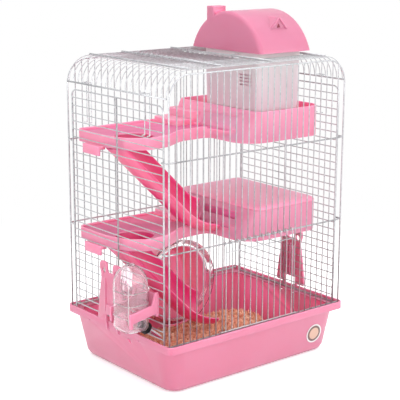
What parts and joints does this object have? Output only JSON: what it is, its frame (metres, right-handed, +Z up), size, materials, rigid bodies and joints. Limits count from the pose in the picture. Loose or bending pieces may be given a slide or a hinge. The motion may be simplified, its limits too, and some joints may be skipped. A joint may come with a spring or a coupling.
{
  "type": "rodent cage",
  "caption": "Tall wire cage on a plastic tub, with shelf floors joined by ramps, a running wheel, a nest tower with a house roof, latch plates, doors and a drinking flask.",
  "frame": {"origin": "centre of the tub's underside", "axes": "+X to the right along the front, +Y to the back, +Z up"},
  "size_m": [0.3213, 0.21, 0.43],
  "materials": {
    "tub_plastic": "pink moulded plastic, satin",
    "shelf_plastic": "deeper pink moulded plastic, satin",
    "wheel_plastic": "red-pink translucent plastic",
    "milky_plastic": "milky translucent plastic",
    "clear_plastic": "clear moulded plastic",
    "wire": "silver-grey coated wire",
    "steel": "drawn steel tube",
    "black_rubber": "black rubber",
    "shavings": "loose wood shavings"
  },
  "bodies": {
    "cage": {"tub": "tub_plastic", "bedding": "shavings", "front_panel": "wire", "back_panel": "wire", "left_panel": "wire", "right_panel": "wire", "roof_panel": "wire", "wire_hooks": "wire", "upper_shelf": "shelf_plastic", "lower_shelf": "shelf_plastic", "upper_ramp": "shelf_plastic", "lower_ramp": "shelf_plastic", "wheel_axle": "milky_plastic", "wheel_bracket": "shelf_plastic", "flask_holder": "tub_plastic"},
    "front_door": {"front_door": "wire"},
    "roof_door": {"roof_door": "wire"},
    "latch_left": {"latch_left": "tub_plastic"},
    "latch_right": {"latch_right": "tub_plastic"},
    "wheel": {"wheel_bowl": "wheel_plastic", "wheel_guard": "clear_plastic"},
    "nest": {"nest_tower": "milky_plastic"},
    "house": {"house_roof": "shelf_plastic"},
    "lid": {"box_lid": "shelf_plastic"},
    "flask": {"flask": "clear_plastic", "stopper": "black_rubber", "drinking_tube": "steel", "tube_ball": "steel"}
  },
  "joints": [
    {"name": "front_door_hinge", "type": "hinge", "parent": "cage", "child": "front_door", "pos_m": [0, -0.09746, 0.17], "axis": [-1, 0, 0], "range_deg": [0, 135]},
    {"name": "roof_door_hinge", "type": "hinge", "parent": "cage", "child": "roof_door", "pos_m": [-0.057, 0.0095, 0.37454], "axis": [0, -1, 0], "range_deg": [0, 110]},
    {"name": "latch_left_hinge", "type": "hinge", "parent": "cage", "child": "latch_left", "pos_m": [-0.137, 0.0065, 0.0565], "axis": [0, -1, 0], "range_deg": [0, 110]},
    {"name": "latch_right_hinge", "type": "hinge", "parent": "cage", "child": "latch_right", "pos_m": [0.137, -0.0065, 0.0565], "axis": [0, 1, 0], "range_deg": [0, 110]},
    {"name": "wheel_spin", "type": "hinge", "parent": "cage", "child": "wheel", "pos_m": [-0.007, 0.07, 0.079], "axis": [0, 1, 0], "continuous": true},
    {"name": "nest_lift", "type": "slide", "parent": "cage", "child": "nest", "axis": [0, 0, 1], "range_m": [0, 0.11]},
    {"name": "house_lift", "type": "slide", "parent": "nest", "child": "house", "axis": [0, 0, 1], "range_m": [0, 0.05]},
    {"name": "lid_lift", "type": "slide", "parent": "cage", "child": "lid", "axis": [0, 0, 1], "range_m": [0, 0.04]},
    {"name": "flask_pull", "type": "slide", "parent": "cage", "child": "flask", "axis": [-0.788, 0, 0.6157], "range_m": [0, 0.045]}
  ]
}
